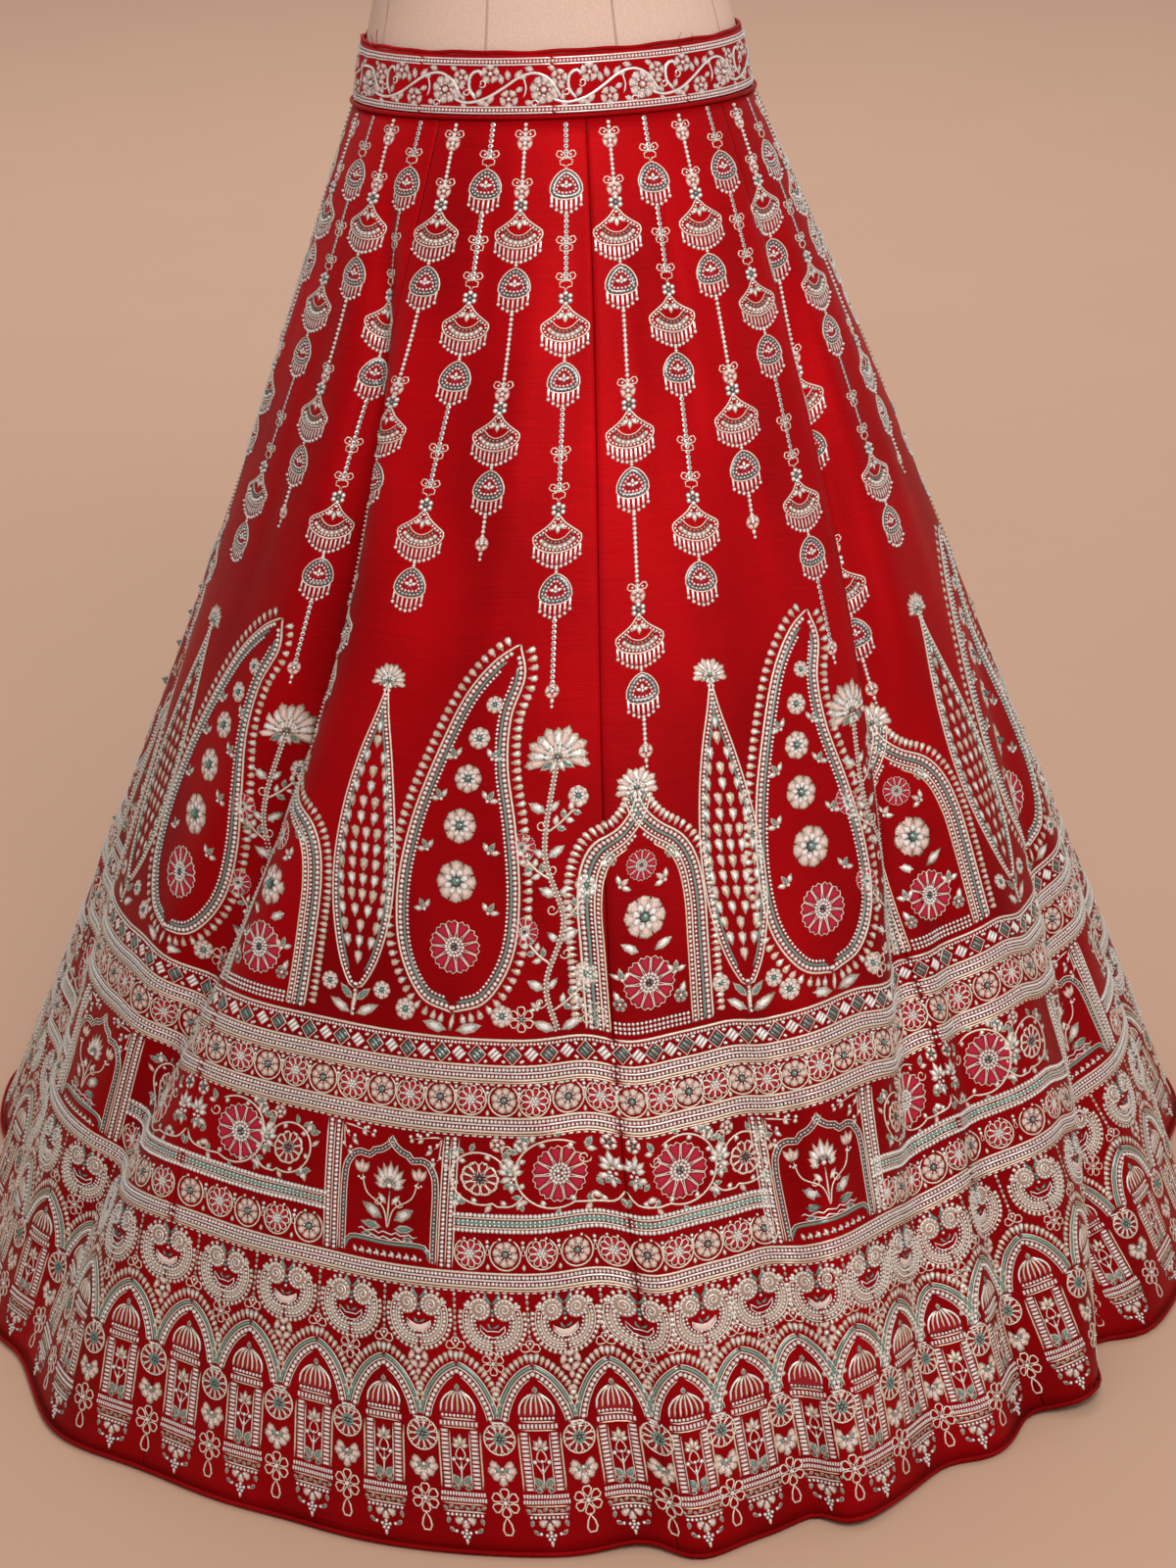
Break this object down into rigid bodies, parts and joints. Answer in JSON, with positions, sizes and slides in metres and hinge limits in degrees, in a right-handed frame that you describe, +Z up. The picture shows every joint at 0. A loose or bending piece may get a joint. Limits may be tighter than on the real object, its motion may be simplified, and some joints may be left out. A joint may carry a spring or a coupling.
{
  "type": "lehenga skirt on dress form",
  "caption": "Floor-length flared red lehenga skirt of eight panels with a banded waist, standing on a limbless dress form with pole and round base.",
  "frame": {"origin": "on the floor, on the stand's underside, under the middle of the waist", "axes": "+Z up, the wearer's front towards -Y, +X to the wearer's left"},
  "size_m": [1.0925, 1.1532, 1.5396],
  "materials": {
    "red_silk": "satin raw silk with fine slubs",
    "form_cloth": "matt cotton jersey",
    "cap_wood": "satin varnish",
    "stand_metal": "brushed"
  },
  "bodies": {
    "root": {"panel_1": "red_silk", "panel_2": "red_silk", "panel_3": "red_silk", "panel_4": "red_silk", "panel_5": "red_silk", "panel_6": "red_silk", "panel_7": "red_silk", "panel_8": "red_silk", "waistband": "red_silk", "piping_waist_top": "red_silk", "piping_waist_bottom": "red_silk", "piping_hem": "red_silk", "dress_form_torso": "form_cloth", "neck_cap": "cap_wood", "neck_knob": "cap_wood", "stand_collar": "stand_metal", "stand_pole": "stand_metal", "stand_boss": "stand_metal", "stand_base": "stand_metal"}
  },
  "joints": []
}
